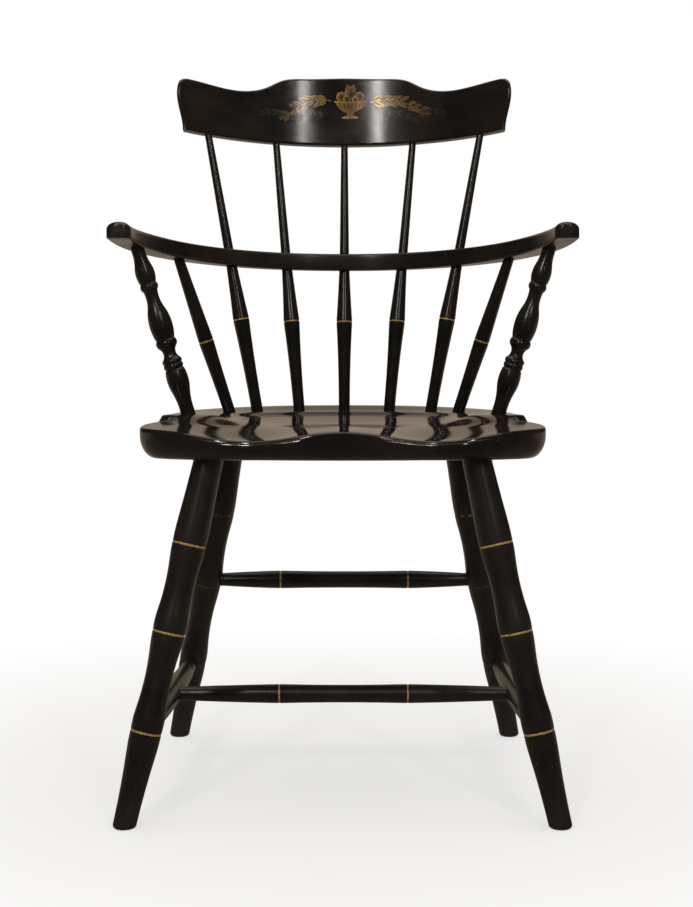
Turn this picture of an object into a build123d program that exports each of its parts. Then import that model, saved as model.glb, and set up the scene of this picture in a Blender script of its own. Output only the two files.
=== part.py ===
from build123d import *
import math
import os

# Comb-back Windsor armchair: a solid plank seat, four splayed bamboo-turned legs with their
# stretchers, a bent arm rail on turned posts, and a bent crest on five long spindles.
# Millimetres. X runs across, Y from front to back, Z up, and "left" is the -X side.
# Everything is laid out about the middle of the seat. At the end the whole chair is moved
# so that its origin is the bottom centre of its own box.

# ---- seat ----
DECK_HEIGHT = 460.0  # top of the plank at Y = 0
DECK_FALL = 0.033  # drop of the plank for each mm towards the back
SEAT_THICKNESS = 50.0
SEAT_HALF_WIDTH = 220.0  # at the arm posts
SEAT_BACK = 223.0
SEAT_WAIST = -45.0  # where the back curve of the plank ends
LOBE_HALF_WIDTH = 241.0  # the wider front of the plank
LOBE_PLACE = -118.0
SEAT_FRONT = -215.0
SEAT_CORNER = (212.0, -170.0)
UNDER_ROUND = 28.0  # of the underside's edge
RIM_ROUND = 11.0  # of the carved front edge
DECK_EDGE_ROUND = 2.0

# ---- saddle carved into the seat ----
GUTTER_DEPTH = 3.5
GUTTER_FROM_SIDE = 52.0
GUTTER_FROM_BACK = 65.0
GUTTER_CORNER = 10.0
SHOULDER_PLACE = -62.0  # the step just ahead of the arm posts
HOLLOW_DEPTH = 14.0
RIDGE_HEIGHT = 6.0  # middle ridge left standing in the hollow
RIDGE_WIDTH = 38.0
FRONT_DROP = 12.5  # fall of the carved top at the front edge
FRONT_DROP_START = 20.0
THIGH_DROP = 11.0  # the extra fall of the two thigh scoops
THIGH_SPACING = 218.0

# ---- legs ----
FRONT_LEG_TOP = (156.5, -148.0)  # centre line at the underside of the seat
FRONT_FOOT = (248.7, -198.0)
REAR_LEG_TOP = (153.2, 154.3)
REAR_FOOT = (230.1, 219.9)
LEG_RING_SHARES = (0.2555, 0.5236, 0.7648)  # from the floor, of the front leg's length
LEG_TENON_DIAMETER = 25.0
LEG_TENON_DEPTH = 22.0
LEG_TENON_ROOT = 10.0  # the tenon is run this far into the leg
LEG_FLOOR_WASTE = 6.0  # turned past the floor, and sawn off level
LEG_TOP_WASTE = 20.0  # turned past the seat, and cut back round the tenon
FOOT_DIAMETER = 26.5
FOOT_ROUND = 4.0

# ---- stretchers ----
CROSS_STRETCHER_PLACE = 8.0
REAR_STRETCHER_LIFT = 5.6  # above the middle ring of the rear legs
STRETCHER_END_DIAMETER = 17.6
SIDE_STRETCHER_DIAMETER = 27.0
CROSS_STRETCHER_DIAMETER = 23.6
REAR_STRETCHER_DIAMETER = 24.0
CROSS_RING_SPACING = 162.0
REAR_RING_SPACING = 174.0
STRETCHER_LEAD = 24.0  # a stretcher keeps its end size this far from its leg's middle
TENON_PAST_AXIS = 3.0  # and runs this far past it

# ---- arm rail ----
RAIL_UNDERSIDE = 664.1  # height at Y = 0
RAIL_FALL = 0.0791
RAIL_THICKNESS = 21.3  # at Y = 0
RAIL_TOP_FALL = 0.0713
RAIL_HALF_SPREAD = 265.5  # centre line at the hand grips
RAIL_BACK = 214.4
RAIL_WIDEST_PLACE = -120.0
RAIL_TIP = -132.0
RAIL_SQUARENESS = 2.1
RAIL_WIDTH = 33.0
RAIL_TIP_WIDTH = 29.0
RAIL_TIP_CORNER = 9.0
RAIL_EDGE_ROUND = 4.5

# ---- crest rail ----
CREST_HEIGHT = 822.0  # bottom edge over the centre spindle
CREST_THICKNESS = 16.0
CREST_RISE = 97.0
CREST_FLAT = (55.0, 94.6)  # points of the top edge: half width and rise
CREST_SHOULDER = (88.0, 89.8)
CREST_SLOPE = (108.0, 78.6)
CREST_DIP = (147.0, 68.8)
EAR_RISE = 71.5
EAR_HALF_WIDTH = 224.5
EAR_ROUND = 13.0
CREST_END = (221.7, 28.0)
CREST_BOTTOM_HALF_WIDTH = 217.0
CREST_EDGE_ROUND = 3.0

# ---- uprights ----
# Each pair is an angle round the line of seat bores and an angle round the arm rail,
# both from straight back.
CENTER_ANGLES = (0.0, 0.0)
INNER_ANGLES = (18.45, 16.5)
OUTER_ANGLES = (36.9, 34.5)
SHORT_ANGLES = (51.0, 54.9)
POST_ANGLES = (84.2, 76.2)
BORES_FROM_SIDE = 26.0  # line of seat bores, in from the edge of the plank
BORES_FROM_BACK = 35.0
SPINDLE_SEAT_DEPTH = 26.0
POST_SEAT_DEPTH = 28.0
RAIL_SOCKET_DEPTH = 14.0  # short spindles and posts end inside the rail
CREST_SOCKET_DEPTH = 20.0
SPINDLE_FOOT_DIAMETER = 15.3
SPINDLE_RING_DIAMETER = 21.7
LONG_RING_SHARE = 0.631  # ring, from the seat, of the length up to the arm rail
SHORT_RING_SHARE = 0.467
SHORT_RING_DIAMETER = 19.9
SPINDLE_BELOW_RAIL = 14.6
SPINDLE_ABOVE_RAIL = 12.8
SPINDLE_TOP_DIAMETER = 9.6
SHORT_TOP_DIAMETER = 13.3
POST_FOOT_DIAMETER = 18.0
POST_TOP_DIAMETER = 16.7

# ---- joints ----
GLUE_GAP = 0.1  # between a tenon and the wall of its socket
SOCKET_LEAD = 4.0  # a turning keeps its tenon's size this far outside the socket

# ---- ring grooves ----
RING_HALF_WIDTH = 1.5
RING_DEPTH = 0.9


# ======== turning ========


class CenterLine:
    """A straight line through space, with distances measured along it from its start."""

    def __init__(self, start, toward):
        self.start = Vector(start)
        self.direction = (Vector(toward) - self.start).normalized()

    def at(self, distance):
        return self.start + self.direction * distance

    def at_height(self, height):
        return (height - self.start.Z) / self.direction.Z

    def at_depth(self, y):
        return (y - self.start.Y) / self.direction.Y


def turned(line, spans, grow=0.0):
    """Turn a solid about a centre line. Each span is a list of (distance, radius) points: two
    points make a straight span, and an odd number a chain of arcs, each through three."""
    edges = []
    for span in spans:
        points = [(radius + grow, 0, distance) for distance, radius in span]
        if len(points) == 2:
            edges.append(Line(*points))
        for first in range(0, len(points) - 2, 2):
            edges.append(ThreePointArc(*points[first : first + 3]))
    low, high = spans[0][0], spans[-1][-1]
    edges += Polyline(
        (high[1] + grow, 0, high[0]), (0, 0, high[0]), (0, 0, low[0]), (low[1] + grow, 0, low[0])
    ).edges()
    lathe = Plane(origin=line.start, z_dir=line.direction)
    return lathe * revolve(make_face(edges), Axis.Z)


def bore(line, first, last, diameter):
    """The solid of a plain round hole, a glue gap wider than its tenon."""
    return turned(line, [[(first, diameter / 2), (last, diameter / 2)]], GLUE_GAP)


def ring_spans(distance, radius):
    """The two sides of a ring groove."""
    low = (distance - RING_HALF_WIDTH, radius)
    high = (distance + RING_HALF_WIDTH, radius)
    floor = (distance, radius - RING_DEPTH)
    return [[low, floor], [floor, high]]


def swelling(first, last, *turnings):
    """Points of a profile between two distances, from pairs of a share of the way along it and
    a radius there."""
    return [(first + (last - first) * share, radius) for share, radius in turnings]


# ======== lines that the pieces share ========


def deck_height(y):
    return DECK_HEIGHT - DECK_FALL * y


def underside_height(y):
    return deck_height(y) - SEAT_THICKNESS


def sloping_plane(height, fall):
    """A plane at a height over Y = 0 that drops towards the back."""
    lean = math.atan(fall)
    return Plane(
        origin=(0, 0, height), x_dir=(1, 0, 0), z_dir=(0, math.sin(lean), math.cos(lean))
    )


def rail_plan(angle):
    """Point in plan on the middle of the arm rail, at an angle from straight back."""
    a = math.radians(angle)
    power = 2 / RAIL_SQUARENESS
    reach = RAIL_BACK - RAIL_WIDEST_PLACE
    return (
        RAIL_HALF_SPREAD * math.sin(a) ** power,
        RAIL_WIDEST_PLACE + reach * max(math.cos(a), 0.0) ** power,
    )


def rail_outward(angle):
    """Level direction square to the arm rail, towards its outer side."""
    x, y = rail_plan(angle)
    reach = RAIL_BACK - RAIL_WIDEST_PLACE
    across = (x / RAIL_HALF_SPREAD) ** (RAIL_SQUARENESS - 1) / RAIL_HALF_SPREAD
    back = ((y - RAIL_WIDEST_PLACE) / reach) ** (RAIL_SQUARENESS - 1) / reach
    return Vector(across, back).normalized()


def seat_bore(angle, side):
    a = math.radians(angle)
    x = (SEAT_HALF_WIDTH - BORES_FROM_SIDE) * math.sin(a)
    y = SEAT_WAIST + (SEAT_BACK - BORES_FROM_BACK - SEAT_WAIST) * math.cos(a)
    return Vector(side * x, y, deck_height(y))


def rail_bore(angle, side):
    x, y = rail_plan(angle)
    bottom = RAIL_UNDERSIDE - RAIL_FALL * y
    top = RAIL_UNDERSIDE + RAIL_THICKNESS - RAIL_TOP_FALL * y
    return Vector(side * x, y, (bottom + top) / 2)


def upright_line(angles, side):
    return CenterLine(seat_bore(angles[0], side), rail_bore(angles[1], side))


def rail_distances(line):
    """Distances along a line to the underside and to the top of the arm rail."""
    found = []
    for height, fall in (
        (RAIL_UNDERSIDE, RAIL_FALL),
        (RAIL_UNDERSIDE + RAIL_THICKNESS, RAIL_TOP_FALL),
    ):
        rise = line.direction.Z + fall * line.direction.Y
        found.append((height - fall * line.start.Y - line.start.Z) / rise)
    return found


underside_plane = sloping_plane(DECK_HEIGHT - SEAT_THICKNESS, DECK_FALL)

# The crest stands square on the centre spindle, and bends to meet the outer spindles.
center_line = upright_line(CENTER_ANGLES, 1)
crest_plane = Plane(
    origin=center_line.at(center_line.at_height(CREST_HEIGHT)),
    x_dir=(1, 0, 0),
    z_dir=center_line.direction,
)


def crest_distance(line, rise=0.0):
    """Distance along a line to the crest's bottom edge, or to a rise above it."""
    to_edge = crest_plane.origin - line.start
    return (to_edge.dot(crest_plane.z_dir) + rise) / line.direction.dot(crest_plane.z_dir)


def in_crest(line, rise):
    """Where a line stands in the crest, in the crest's own directions."""
    return crest_plane.to_local_coords(line.at(crest_distance(line, rise)))


outer_top = in_crest(upright_line(OUTER_ANGLES, 1), CREST_SOCKET_DEPTH / 2)
CREST_RADIUS = (outer_top.X**2 + outer_top.Y**2) / (-2 * outer_top.Y)


# ======== uprights ========


def long_spindle(line):
    """Swells up to its ring groove, and tapers from there through the rail to the crest."""
    below, above = rail_distances(line)
    crest = crest_distance(line)
    ring = below * LONG_RING_SHARE
    foot, swell = SPINDLE_FOOT_DIAMETER / 2, SPINDLE_RING_DIAMETER / 2
    waist, neck, top = SPINDLE_BELOW_RAIL / 2, SPINDLE_ABOVE_RAIL / 2, SPINDLE_TOP_DIAMETER / 2
    lower = swelling(
        SOCKET_LEAD, ring - RING_HALF_WIDTH, (0, foot), (0.5, foot + 0.8), (1, swell)
    )
    upper = swelling(
        ring + RING_HALF_WIDTH, below - SOCKET_LEAD, (0, swell), (0.5, waist + 1.6), (1, waist)
    )
    spans = [
        [(-SPINDLE_SEAT_DEPTH, foot), lower[0]],
        lower,
        *ring_spans(ring, swell),
        upper,
        [upper[-1], (above + SOCKET_LEAD, neck)],
        [(above + SOCKET_LEAD, neck), (crest - SOCKET_LEAD, top)],
        [(crest - SOCKET_LEAD, top), (crest + CREST_SOCKET_DEPTH, top)],
    ]
    return turned(line, spans)


def short_spindle(line):
    below = rail_distances(line)[0]
    ring = below * SHORT_RING_SHARE
    foot, swell, top = SPINDLE_FOOT_DIAMETER / 2, SHORT_RING_DIAMETER / 2, SHORT_TOP_DIAMETER / 2
    lower = swelling(
        SOCKET_LEAD, ring - RING_HALF_WIDTH, (0, foot), (0.5, foot + 0.8), (1, swell)
    )
    upper = swelling(
        ring + RING_HALF_WIDTH, below - SOCKET_LEAD, (0, swell), (0.5, top + 1.5), (1, top)
    )
    spans = [
        [(-SPINDLE_SEAT_DEPTH, foot), lower[0]],
        lower,
        *ring_spans(ring, swell),
        upper,
        [upper[-1], (below + RAIL_SOCKET_DEPTH, top)],
    ]
    return turned(line, spans)


def arm_post(line):
    """A baluster post. From the foot: bulb, two beads, cove, bead, vase, bead, upper bulb."""
    below = rail_distances(line)[0]
    foot, top = POST_FOOT_DIAMETER / 2, POST_TOP_DIAMETER / 2
    turnings = [
        [(0, foot), (0.07, 9.3), (0.13, 11.5), (0.195, 13.5), (0.258, 12.2)],
        [(0.258, 12.2), (0.268, 10.8)],
        [(0.268, 10.8), (0.284, 12.3), (0.300, 11.2)],
        [(0.300, 11.2), (0.316, 12.3), (0.332, 10.4)],
        [(0.332, 10.4), (0.363, 7.9), (0.402, 11.0)],
        [(0.402, 11.0), (0.426, 13.3), (0.450, 11.6)],
        [(0.450, 11.6), (0.530, 14.4), (0.640, 11.0), (0.715, 8.2), (0.755, 9.0)],
        [(0.755, 9.0), (0.778, 11.3), (0.800, 9.9)],
        [(0.800, 9.9), (0.850, 12.0), (0.910, 10.5), (0.945, 8.95), (1, top)],
    ]
    spans = [swelling(SOCKET_LEAD, below - SOCKET_LEAD, *turning) for turning in turnings]
    spans.insert(0, [(-POST_SEAT_DEPTH, foot), spans[0][0]])
    spans.append([spans[-1][-1], (below + RAIL_SOCKET_DEPTH, top)])
    return turned(line, spans)


# ======== seat ========


def seat_outline():
    back = EllipticalCenterArc(
        (0, SEAT_WAIST), SEAT_HALF_WIDTH, SEAT_BACK - SEAT_WAIST, start_angle=0, arc_size=180
    )
    flank = Spline(
        (SEAT_HALF_WIDTH, SEAT_WAIST),
        (LOBE_HALF_WIDTH, LOBE_PLACE),
        tangents=[(0, -1), (0, -1)],
    )
    corner = Spline(
        (LOBE_HALF_WIDTH, LOBE_PLACE), SEAT_CORNER, (0, SEAT_FRONT), tangents=[(0, -1), (-1, 0)]
    )
    left = [mirror(edge, about=Plane.YZ) for edge in (flank, corner)]
    return make_face([back, flank, corner, *left])


def smooth_step(share):
    share = min(max(share, 0.0), 1.0)
    return share * share * (3 - 2 * share)


def carved_depth(x, y):
    """How far the saddle lies below the deck plane."""
    across = abs(x) / (SEAT_HALF_WIDTH - GUTTER_FROM_SIDE)
    along = max(y - SEAT_WAIST, 0) / (SEAT_BACK - GUTTER_FROM_BACK - SEAT_WAIST)
    hollow = HOLLOW_DEPTH * max(1 - across**2 - along**2, 0)
    ridge = RIDGE_HEIGHT * math.exp(-((x / RIDGE_WIDTH) ** 2))
    ridge *= smooth_step((FRONT_DROP_START + 40 - y) / 160)
    toward_front = smooth_step((FRONT_DROP_START - y) / (FRONT_DROP_START - SEAT_FRONT))
    thighs = THIGH_DROP * math.sin(math.pi * x / THIGH_SPACING) ** 2
    front = toward_front * FRONT_DROP + toward_front**2 * thighs
    return GUTTER_DEPTH + max(hollow - ridge, 0) * (1 - toward_front) + front


def saddle_cut():
    """Everything above the carved surface, inside the gutter and ahead of the shoulders."""
    reach = LOBE_HALF_WIDTH + 20
    front, back = SEAT_FRONT - 20, SEAT_BACK - GUTTER_FROM_BACK + 20
    columns, rows = 28, 22
    grid = []
    for i in range(columns + 1):
        x = -reach + 2 * reach * i / columns
        ys = [front + (back - front) * j / rows for j in range(rows + 1)]
        grid.append([(x, y, deck_height(y) - carved_depth(x, y)) for y in ys])
    above = extrude(Face.make_surface_from_array_of_points(grid), 80, dir=(0, 0, 1))

    half_width = SEAT_HALF_WIDTH - GUTTER_FROM_SIDE
    gutter = EllipticalCenterArc(
        (0, SEAT_WAIST),
        half_width,
        SEAT_BACK - GUTTER_FROM_BACK - SEAT_WAIST,
        start_angle=0,
        arc_size=180,
    )
    lobe = Polyline(
        (half_width, SEAT_WAIST),
        (half_width, SHOULDER_PLACE),
        (reach, SHOULDER_PLACE),
        (reach, front),
        (0, front),
    )
    region = extrude(
        make_face([gutter, *lobe.edges(), *mirror(lobe, about=Plane.YZ).edges()]),
        DECK_HEIGHT + 60,
    )
    corners = (
        region.edges()
        .filter_by(Axis.Z)
        .filter_by_position(Axis.Y, SHOULDER_PLACE - 1, SHOULDER_PLACE + 1)
        .filter_by_position(Axis.X, -half_width - 1, half_width + 1)
    )
    return fillet(corners, GUTTER_CORNER) & above


def make_seat(bores):
    plank = extrude(seat_outline(), 2 * DECK_HEIGHT)
    plank = split(plank, sloping_plane(DECK_HEIGHT, DECK_FALL), keep=Keep.BOTTOM)
    plank = split(plank, underside_plane, keep=Keep.TOP)
    plank = fillet(plank.faces().sort_by(Axis.Z)[-1].edges(), DECK_EDGE_ROUND)
    plank = fillet(plank.faces().sort_by(Axis.Z)[0].edges(), UNDER_ROUND)
    seat = plank - saddle_cut()
    carved = seat.faces().filter_by(GeomType.BSPLINE).sort_by(SortBy.AREA)[-1]
    rim = [edge for edge in carved.edges() if edge.center().Y < SHOULDER_PLACE - 1]
    return fillet(rim, RIM_ROUND) - bores


# ======== legs and stretchers ========


def leg_line(top, foot, side):
    """A leg's centre line, up from the floor."""
    under_seat = (side * top[0], top[1], underside_height(top[1]))
    return CenterLine((side * foot[0], foot[1], 0), under_seat)


def leg_length(line, top):
    return line.at_height(underside_height(top[1]))


front_leg_length = leg_length(leg_line(FRONT_LEG_TOP, FRONT_FOOT, 1), FRONT_LEG_TOP)
leg_rings = [share * front_leg_length for share in LEG_RING_SHARES]


def make_leg(line, length):
    """Bamboo turning: each length between rings narrows, then swells to the next ring.
    The leg is cut level at the floor, and flush with the seat where its tenon begins."""
    turnings = [
        [(0, FOOT_DIAMETER / 2), (0.42, 14.3), (0.8, 17.1), (0.9, 17.8), (1, 18.0)],
        [(0, 18.0), (0.09, 18.35), (0.2, 17.6), (0.5, 15.6), (0.82, 17.6), (0.92, 18.65), (1, 19.1)],
        [(0, 19.1), (0.1, 19.5), (0.2, 18.9), (0.52, 17.1), (0.82, 18.7), (0.91, 19.45), (1, 19.8)],
        [(0, 19.8), (0.11, 19.9), (0.22, 19.5), (0.6, 17.8), (1, 17.0)],
    ]
    starts = [-LEG_FLOOR_WASTE, *[ring + RING_HALF_WIDTH for ring in leg_rings]]
    ends = [*[ring - RING_HALF_WIDTH for ring in leg_rings], length + LEG_TOP_WASTE]
    spans = [swelling(starts[0], ends[0], *turnings[0])]
    for ring, first, last, turning in zip(leg_rings, starts[1:], ends[1:], turnings[1:]):
        spans += [*ring_spans(ring, turning[0][1]), swelling(first, last, *turning)]
    leg = split(turned(line, spans), Plane.XY, keep=Keep.TOP)
    leg = split(leg, underside_plane, keep=Keep.BOTTOM)
    leg = fillet(leg.faces().sort_by(Axis.Z)[0].edges(), FOOT_ROUND)
    radius = LEG_TENON_DIAMETER / 2
    tenon_root = length - LEG_TENON_ROOT
    return leg + turned(line, [[(tenon_root, radius), (length + LEG_TENON_DEPTH, radius)]])


def stretcher_line(low_point, high_point):
    """A stretcher's centre line and its length between the centre lines of its legs."""
    return CenterLine(low_point, high_point), (high_point - low_point).length


def plain_stretcher(line, length, diameter):
    """A stretcher that swells evenly to its middle."""
    end, first, last = STRETCHER_END_DIAMETER / 2, STRETCHER_LEAD, length - STRETCHER_LEAD
    body = swelling(first, last, (0, end), (0.5, diameter / 2), (1, end))
    spans = [
        [(-TENON_PAST_AXIS, end), body[0]],
        body,
        [body[-1], (length + TENON_PAST_AXIS, end)],
    ]
    return turned(line, spans)


def ringed_stretcher(line, length, diameter, ring_spacing):
    """A stretcher that swells to two ring grooves, with a slight waist between them."""
    end, swell = STRETCHER_END_DIAMETER / 2, diameter / 2
    rings = [(length - ring_spacing) / 2, (length + ring_spacing) / 2]
    edge = RING_HALF_WIDTH
    rise = swelling(STRETCHER_LEAD, rings[0] - edge, (0, end), (0.5, swell - 1.2), (1, swell))
    waist = swelling(rings[0] + edge, rings[1] - edge, (0, swell), (0.5, swell - 0.9), (1, swell))
    fall = [(length - distance, radius) for distance, radius in reversed(rise)]
    spans = [
        [(-TENON_PAST_AXIS, end), rise[0]],
        rise,
        *ring_spans(rings[0], swell),
        waist,
        *ring_spans(rings[1], swell),
        fall,
        [fall[-1], (length + TENON_PAST_AXIS, end)],
    ]
    return turned(line, spans)


def stretcher_bores(line, length):
    """The holes for a stretcher's two tenons."""
    return [
        bore(line, -TENON_PAST_AXIS, STRETCHER_LEAD, STRETCHER_END_DIAMETER),
        bore(line, length - STRETCHER_LEAD, length + TENON_PAST_AXIS, STRETCHER_END_DIAMETER),
    ]


# ======== arm rail ========


def rail_side(offset_share):
    """One long side of the rail in plan, from the left tip round to the right. The share is
    +1 on the outside and -1 on the inside."""
    right = []
    for angle in range(0, 91, 9):
        narrowing = smooth_step((angle - 70) / 20) * (RAIL_WIDTH - RAIL_TIP_WIDTH)
        offset = offset_share * (RAIL_WIDTH - narrowing) / 2
        right.append(Vector(*rail_plan(angle)) + rail_outward(angle) * offset)
    right.append(Vector(right[-1].X, RAIL_TIP))
    left = [Vector(-point.X, point.Y) for point in reversed(right[1:])]
    return Spline(*left, *right, tangents=[(0, 1), (0, -1)])


def make_rail(bores):
    outside, inside = rail_side(1), rail_side(-1)
    tips = [Line(outside @ 0, inside @ 0), Line(outside @ 1, inside @ 1)]
    rail = extrude(make_face([outside, inside, *tips]), 2 * RAIL_UNDERSIDE)
    rail = split(rail, sloping_plane(RAIL_UNDERSIDE, RAIL_FALL), keep=Keep.TOP)
    top = sloping_plane(RAIL_UNDERSIDE + RAIL_THICKNESS, RAIL_TOP_FALL)
    rail = split(rail, top, keep=Keep.BOTTOM)
    corners = rail.edges().filter_by(Axis.Z).group_by(Axis.Y)[0]
    rail = fillet(corners, RAIL_TIP_CORNER)
    flats = rail.faces().filter_by(GeomType.PLANE).sort_by(SortBy.AREA)[-2:]
    return fillet(flats.edges(), RAIL_EDGE_ROUND) - bores


# ======== crest rail ========


def crest_outline():
    """The crest seen square from the front, in its own plane."""
    middle = [(0, CREST_RISE), CREST_FLAT, CREST_SHOULDER, CREST_SLOPE, CREST_DIP]
    ear = [
        (EAR_HALF_WIDTH - 1.6 * EAR_ROUND, EAR_RISE),
        (EAR_HALF_WIDTH - 0.3 * EAR_ROUND, EAR_RISE - 0.3 * EAR_ROUND),
        (EAR_HALF_WIDTH, EAR_RISE - 1.2 * EAR_ROUND),
    ]
    corner = (CREST_BOTTOM_HALF_WIDTH, 0)
    right = [(x, 0, z) for x, z in [*middle, *ear, CREST_END, corner]]
    left = [(-x, 0, z) for x, _, z in reversed(right[1:])]
    return make_face([Spline(*left, *right), Line(right[-1], left[0])])


def make_crest(bores):
    """Cut to its outline from a board bent to a round, then stood on the centre spindle."""
    outer, inner = CREST_RADIUS + CREST_THICKNESS / 2, CREST_RADIUS - CREST_THICKNESS / 2
    around = Pos(0, -CREST_RADIUS, CREST_RISE / 2)
    bent_board = around * (Cylinder(outer, 2 * CREST_RISE) - Cylinder(inner, 2 * CREST_RISE))
    outline = Pos(0, CREST_THICKNESS, 0) * crest_outline()
    crest = bent_board & extrude(outline, CREST_RADIUS, dir=(0, -1, 0))
    front_and_back = crest.faces().filter_by(GeomType.CYLINDER).sort_by(SortBy.AREA)[-2:]
    crest = fillet(front_and_back.edges(), CREST_EDGE_ROUND)
    return crest_plane * crest - bores


# ======== assembly ========

SIDES = {"left": -1, "right": 1}

long_lines = {"long_spindle_center": center_line}
short_lines, post_lines, leg_lines = {}, {}, {}
for side_name, side in SIDES.items():
    long_lines[f"long_spindle_inner_{side_name}"] = upright_line(INNER_ANGLES, side)
    long_lines[f"long_spindle_outer_{side_name}"] = upright_line(OUTER_ANGLES, side)
    short_lines[f"short_spindle_{side_name}"] = upright_line(SHORT_ANGLES, side)
    post_lines[f"arm_post_{side_name}"] = upright_line(POST_ANGLES, side)
    leg_lines[f"leg_front_{side_name}"] = leg_line(FRONT_LEG_TOP, FRONT_FOOT, side)
    leg_lines[f"leg_rear_{side_name}"] = leg_line(REAR_LEG_TOP, REAR_FOOT, side)

pieces = {}
seat_bores, rail_bores, crest_bores = [], [], []

for name, line in long_lines.items():
    pieces[name] = long_spindle(line)
    below, above = rail_distances(line)
    crest = crest_distance(line)
    through_rail = [
        (below - SOCKET_LEAD, SPINDLE_BELOW_RAIL / 2),
        (above + SOCKET_LEAD, SPINDLE_ABOVE_RAIL / 2),
    ]
    seat_bores.append(bore(line, -SPINDLE_SEAT_DEPTH, SOCKET_LEAD, SPINDLE_FOOT_DIAMETER))
    rail_bores.append(turned(line, [through_rail], GLUE_GAP))
    crest_bores.append(
        bore(line, crest - SOCKET_LEAD, crest + CREST_SOCKET_DEPTH, SPINDLE_TOP_DIAMETER)
    )

for name, line in short_lines.items():
    pieces[name] = short_spindle(line)
    below = rail_distances(line)[0]
    seat_bores.append(bore(line, -SPINDLE_SEAT_DEPTH, SOCKET_LEAD, SPINDLE_FOOT_DIAMETER))
    rail_bores.append(
        bore(line, below - SOCKET_LEAD, below + RAIL_SOCKET_DEPTH, SHORT_TOP_DIAMETER)
    )

for name, line in post_lines.items():
    pieces[name] = arm_post(line)
    below = rail_distances(line)[0]
    seat_bores.append(bore(line, -POST_SEAT_DEPTH, SOCKET_LEAD, POST_FOOT_DIAMETER))
    rail_bores.append(bore(line, below - SOCKET_LEAD, below + RAIL_SOCKET_DEPTH, POST_TOP_DIAMETER))

for name, line in leg_lines.items():
    length = leg_length(line, FRONT_LEG_TOP if "front" in name else REAR_LEG_TOP)
    pieces[name] = make_leg(line, length)
    seat_bores.append(bore(line, length - LEG_TENON_ROOT, length + LEG_TENON_DEPTH, LEG_TENON_DIAMETER))

cross_ends = []
for side_name in SIDES:
    front, rear = f"leg_front_{side_name}", f"leg_rear_{side_name}"
    line, length = stretcher_line(
        leg_lines[front].at(leg_rings[0]), leg_lines[rear].at(leg_rings[0])
    )
    pieces[f"side_stretcher_{side_name}"] = plain_stretcher(line, length, SIDE_STRETCHER_DIAMETER)
    for leg, hole in zip((front, rear), stretcher_bores(line, length)):
        pieces[leg] -= hole
    cross_ends.append(line.at(line.at_depth(CROSS_STRETCHER_PLACE)))

line, length = stretcher_line(*cross_ends)
pieces["cross_stretcher"] = ringed_stretcher(
    line, length, CROSS_STRETCHER_DIAMETER, CROSS_RING_SPACING
)
for side_name, hole in zip(SIDES, stretcher_bores(line, length)):
    pieces[f"side_stretcher_{side_name}"] -= hole

rear_height = leg_rings[1] + REAR_STRETCHER_LIFT
line, length = stretcher_line(
    *[leg_lines[f"leg_rear_{side_name}"].at(rear_height) for side_name in SIDES]
)
pieces["rear_stretcher"] = ringed_stretcher(
    line, length, REAR_STRETCHER_DIAMETER, REAR_RING_SPACING
)
for side_name, hole in zip(SIDES, stretcher_bores(line, length)):
    pieces[f"leg_rear_{side_name}"] -= hole

pieces["seat"] = make_seat(seat_bores)
pieces["arm_rail"] = make_rail(rail_bores)
pieces["crest_rail"] = make_crest(crest_bores)

box = Compound(list(pieces.values())).bounding_box()
to_bottom_center = Pos(-box.center().X, -box.center().Y, -box.min.Z)
os.makedirs("parts", exist_ok=True)
for name, piece in pieces.items():
    export_step(to_bottom_center * piece, f"parts/{name}.step")
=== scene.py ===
import math
import random

import bpy
import numpy as np
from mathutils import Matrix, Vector
from mathutils.bvhtree import BVHTree


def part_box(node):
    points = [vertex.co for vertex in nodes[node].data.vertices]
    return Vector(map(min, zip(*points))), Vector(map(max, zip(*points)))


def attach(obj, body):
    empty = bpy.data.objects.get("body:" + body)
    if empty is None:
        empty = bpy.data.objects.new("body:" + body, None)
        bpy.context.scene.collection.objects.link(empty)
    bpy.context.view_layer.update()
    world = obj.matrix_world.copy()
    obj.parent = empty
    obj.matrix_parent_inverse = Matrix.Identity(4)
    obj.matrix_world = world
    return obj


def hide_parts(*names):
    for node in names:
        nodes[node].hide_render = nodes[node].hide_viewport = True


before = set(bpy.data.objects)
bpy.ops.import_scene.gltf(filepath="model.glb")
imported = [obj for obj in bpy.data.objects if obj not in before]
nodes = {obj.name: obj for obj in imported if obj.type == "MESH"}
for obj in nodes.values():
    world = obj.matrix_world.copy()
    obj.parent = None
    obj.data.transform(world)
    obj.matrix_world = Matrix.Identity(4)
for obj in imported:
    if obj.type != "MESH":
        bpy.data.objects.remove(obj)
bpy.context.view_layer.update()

# ======== seat ========
# A thick plank of glued-up boards, sawn to a shield shape and hollowed by hand for the sitter.
# It is sealed, rubbed down and sprayed with several coats of black lacquer, then polished, so
# the top is the glossiest surface of the chair. Every leg, post and spindle is socketed in it.


def add_node(tree, kind, inputs=None, **settings):
    """A shader node, with each input given a value or joined to another node's socket."""
    node = tree.nodes.new(kind)
    for name, value in settings.items():
        setattr(node, name, value)
    for name, value in (inputs or {}).items():
        if isinstance(value, bpy.types.NodeSocket):
            tree.links.new(value, node.inputs[name])
        else:
            node.inputs[name].default_value = value
    return node


def calculate(tree, operation, first, second=0.0):
    return add_node(tree, "ShaderNodeMath", {0: first, 1: second}, operation=operation).outputs[0]


def map_range(tree, value, low, high, to_low=0.0, to_high=1.0):
    sockets = {0: value, 1: low, 2: high, 3: to_low, 4: to_high}
    return add_node(tree, "ShaderNodeMapRange", sockets).outputs[0]


def blend_colors(tree, share, first, second):
    sockets = {0: share, 6: first, 7: second}
    return add_node(tree, "ShaderNodeMix", sockets, data_type="RGBA").outputs[2]


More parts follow.
